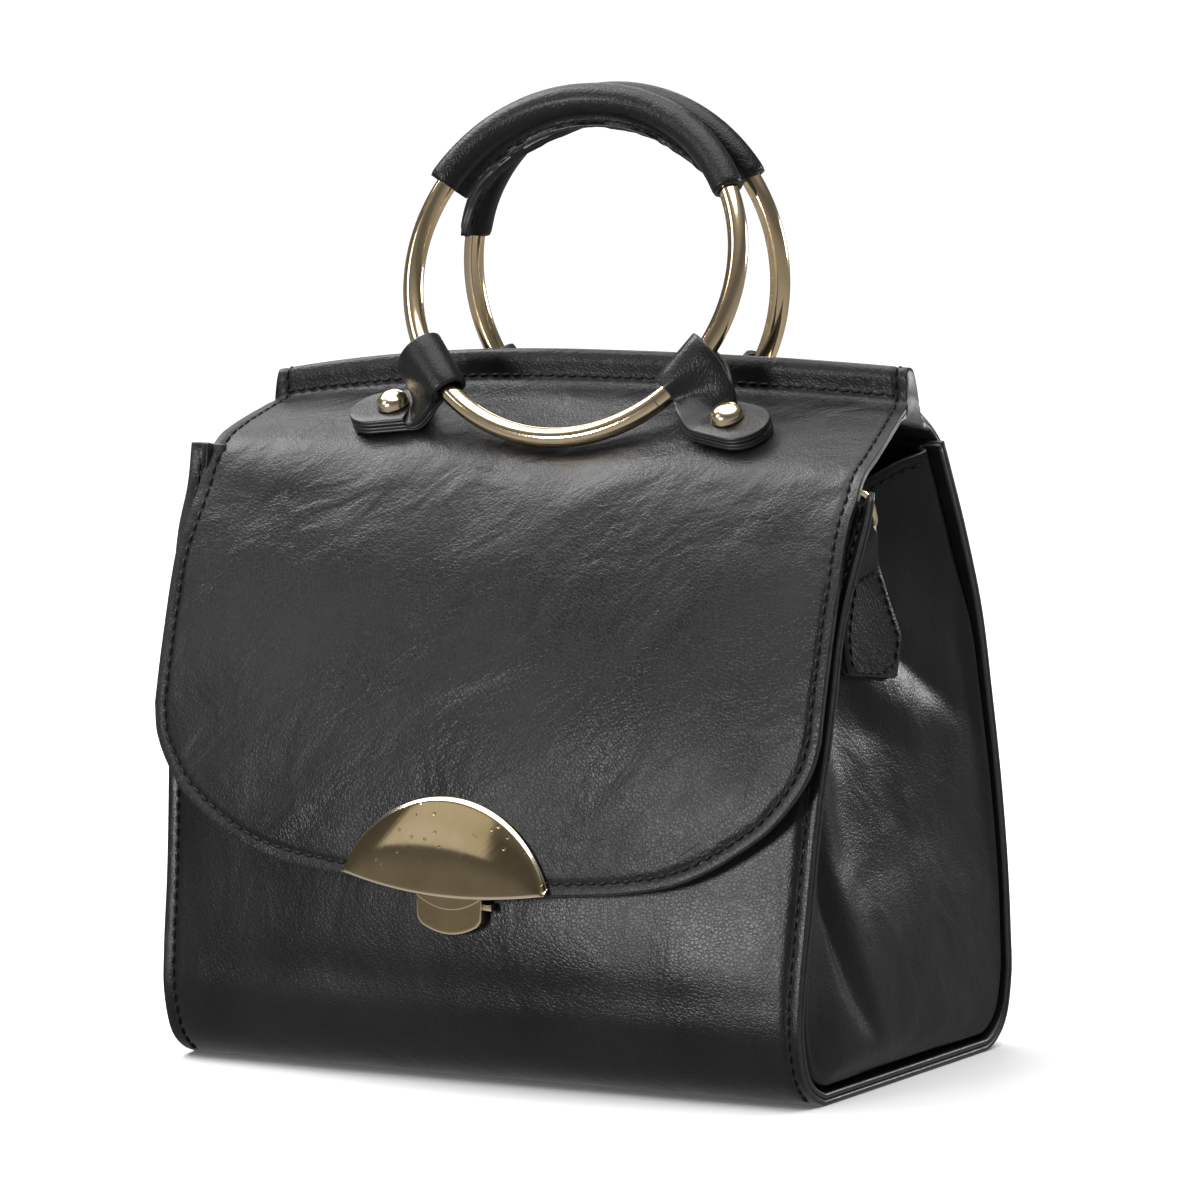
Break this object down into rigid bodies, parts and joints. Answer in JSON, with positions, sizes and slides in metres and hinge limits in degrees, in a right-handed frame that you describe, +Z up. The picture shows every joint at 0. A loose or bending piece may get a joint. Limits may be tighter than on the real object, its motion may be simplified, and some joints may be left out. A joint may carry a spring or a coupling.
{
  "type": "handbag",
  "caption": "Small structured black leather handbag with a front flap, upright gold ring handles, a half-moon clasp and side tabs with D-rings.",
  "frame": {"origin": "middle of the flat underside, on the surface the bag stands on", "axes": "+Z up, -Y towards the front with the clasp, +X to the right seen from the front"},
  "size_m": [0.2574, 0.1682, 0.3224],
  "materials": {
    "body_leather": "semi-gloss black leather with a fine grain",
    "strap_leather": "smooth semi-gloss black leather",
    "pale_gold": "polished pale gold plating"
  },
  "bodies": {
    "bag": {"body_panel": "body_leather", "gusset_left": "body_leather", "gusset_right": "body_leather", "flap": "body_leather", "ring_front": "pale_gold", "ring_rear": "pale_gold", "wrap_front": "strap_leather", "wrap_rear": "strap_leather", "tab_front_left": "strap_leather", "rivet_front_left": "pale_gold", "tab_front_right": "strap_leather", "rivet_front_right": "pale_gold", "tab_rear_left": "strap_leather", "rivet_rear_left": "pale_gold", "tab_rear_right": "strap_leather", "rivet_rear_right": "pale_gold", "clasp_plate": "pale_gold", "lock_base": "pale_gold", "dring_tab_left": "strap_leather", "dring_tab_right": "strap_leather"},
    "left_ring": {"dring_left": "pale_gold"},
    "right_ring": {"dring_right": "pale_gold"}
  },
  "joints": [
    {"name": "dring_left_swing", "type": "hinge", "parent": "bag", "child": "left_ring", "pos_m": [-0.10991, -0.01437, 0.17831], "axis": [0.2528, -0.9092, -0.3309], "range_deg": [0, 150]},
    {"name": "dring_right_swing", "type": "hinge", "parent": "bag", "child": "right_ring", "pos_m": [0.10991, -0.01437, 0.17831], "axis": [0.2528, 0.9092, 0.3309], "range_deg": [0, 150]}
  ]
}
